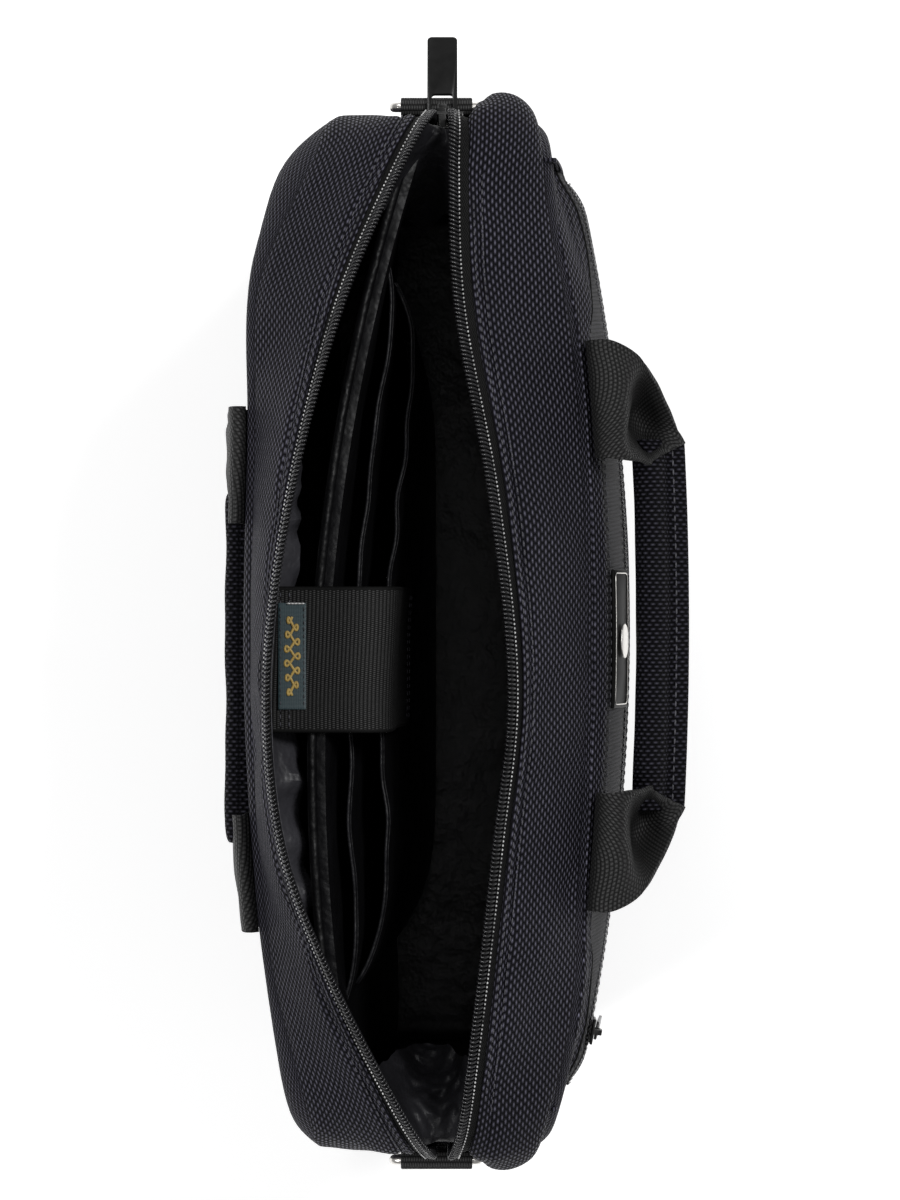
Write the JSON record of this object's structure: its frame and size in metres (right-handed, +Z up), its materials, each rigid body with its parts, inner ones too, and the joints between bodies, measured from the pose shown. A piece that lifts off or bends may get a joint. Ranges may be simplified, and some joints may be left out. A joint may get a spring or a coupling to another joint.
{
  "type": "flight bag",
  "caption": "Soft padded flight crew briefcase, zipped top held open, two webbing handles, strap rings, zipped front pocket, laptop divider and file pockets, luggage sleeve.",
  "frame": {"origin": "on the floor face of the base, in the vertical plane of the main zip, midway between the two ends", "axes": "+Z up, +X to the right seen from the front, -Y out of the front where the zipped pocket is"},
  "size_m": [0.399, 0.1656, 0.3255],
  "materials": {
    "ballistic": "heavy ballistic nylon, basket weave, dark charcoal",
    "twill": "smooth tight twill, black",
    "webbing": "ribbed woven webbing, black",
    "lining": "smooth satin lining, black",
    "foam": "soft padding",
    "board": "stiffening board",
    "zip_tape": "knitted zip tape, black",
    "zip_coil": "nylon coil, slight sheen",
    "dark_metal": "satin black lacquer on cast zinc",
    "nickel": "nickel plate, satin",
    "gloss": "glossy black",
    "hook_tape": "hook and loop tape, black",
    "label": "woven satin label, dark teal with a gold ornament"
  },
  "bodies": {
    "bag": {"back_panel": "ballistic", "back_foam": "foam", "back_lining": "lining", "front_panel": "ballistic", "front_foam": "foam", "front_lining": "lining", "left_end_gusset": "ballistic", "left_lining": "lining", "right_end_gusset": "ballistic", "right_lining": "lining", "base_gusset": "ballistic", "base_board": "board", "base_lining": "lining", "back_lip": "ballistic", "back_zip_tape": "zip_tape", "back_zip_coil": "zip_coil", "front_lip": "ballistic", "front_zip_tape": "zip_tape", "front_zip_coil": "zip_coil", "zip_bottom_stop": "nickel", "zip_top_stop_back": "nickel", "zip_top_stop_front": "nickel", "left_ring_tab": "webbing", "right_ring_tab": "webbing", "pocket_top_strip": "ballistic", "pocket_band": "twill", "pocket_zip_upper_tape": "zip_tape", "pocket_zip_lower_tape": "zip_tape", "pocket_zip_chain": "zip_coil", "pocket_front_panel": "ballistic", "pocket_gusset": "ballistic", "badge_plate": "gloss", "badge_oval": "nickel", "front_handle_anchor_left": "webbing", "rear_handle_anchor_left": "webbing", "front_handle_anchor_right": "webbing", "rear_handle_anchor_right": "webbing", "luggage_sleeve": "twill", "laptop_divider": "lining", "rear_file_pocket": "lining", "front_file_pocket": "lining", "strap_loop_patch": "hook_tape", "inner_loop": "webbing"},
    "front_handle": {"front_handle_grip": "ballistic", "front_handle_leg_left": "webbing", "front_handle_leg_right": "webbing"},
    "rear_handle": {"rear_handle_grip": "ballistic", "rear_handle_leg_left": "webbing", "rear_handle_leg_right": "webbing"},
    "main_slider": {"zip_slider": "dark_metal"},
    "main_puller": {"zip_puller": "dark_metal"},
    "right_ring": {"right_d_ring": "nickel"},
    "left_ring": {"left_d_ring": "nickel"},
    "pocket_slider": {"pocket_zip_slider": "dark_metal"},
    "pocket_puller": {"pocket_zip_puller": "dark_metal"},
    "strap": {"laptop_strap": "webbing", "strap_label": "label", "strap_hook_patch": "hook_tape"}
  },
  "joints": [
    {"name": "front_handle_swing", "type": "hinge", "parent": "bag", "child": "front_handle", "pos_m": [0.003, -0.0562, 0.2805], "axis": [-1, 0, 0], "range_deg": [0, 125], "deforming": ["front_handle_leg_left", "front_handle_leg_right"]},
    {"name": "rear_handle_swing", "type": "hinge", "parent": "bag", "child": "rear_handle", "pos_m": [-0.012, 0.0714, 0.2805], "axis": [1, 0, 0], "range_deg": [0, 160], "deforming": ["rear_handle_leg_left", "rear_handle_leg_right"]},
    {"name": "zip_slider_travel", "type": "slide", "parent": "bag", "child": "main_slider", "axis": [0, 0, 1], "range_m": [0, 0.005]},
    {"name": "zip_puller_swing", "type": "hinge", "parent": "main_slider", "child": "main_puller", "pos_m": [0.18135, 0.001, 0.2536], "axis": [0, -1, 0], "range_deg": [0, 105]},
    {"name": "right_ring_swing", "type": "hinge", "parent": "bag", "child": "right_ring", "pos_m": [0.1842, 0.003, 0.2472], "axis": [0, -1, 0], "range_deg": [0, 50]},
    {"name": "left_ring_swing", "type": "hinge", "parent": "bag", "child": "left_ring", "pos_m": [-0.1842, 0.003, 0.2472], "axis": [0, 1, 0], "range_deg": [0, 140]},
    {"name": "pocket_slider_travel", "type": "hinge", "parent": "bag", "child": "pocket_slider", "pos_m": [0, 0.6792, 0.237], "axis": [0, 0, 1], "range_deg": [0, 22.35]},
    {"name": "pocket_puller_swing", "type": "hinge", "parent": "pocket_slider", "child": "pocket_puller", "pos_m": [-0.14055, -0.05341, 0.2359], "axis": [-0.9821, 0.1884, 0], "range_deg": [0, 130]},
    {"name": "laptop_strap_swing", "type": "hinge", "parent": "bag", "child": "strap", "pos_m": [-0.00875, 0.0604, 0.2734], "axis": [-1, 0, 0], "range_deg": [0, 75]}
  ]
}
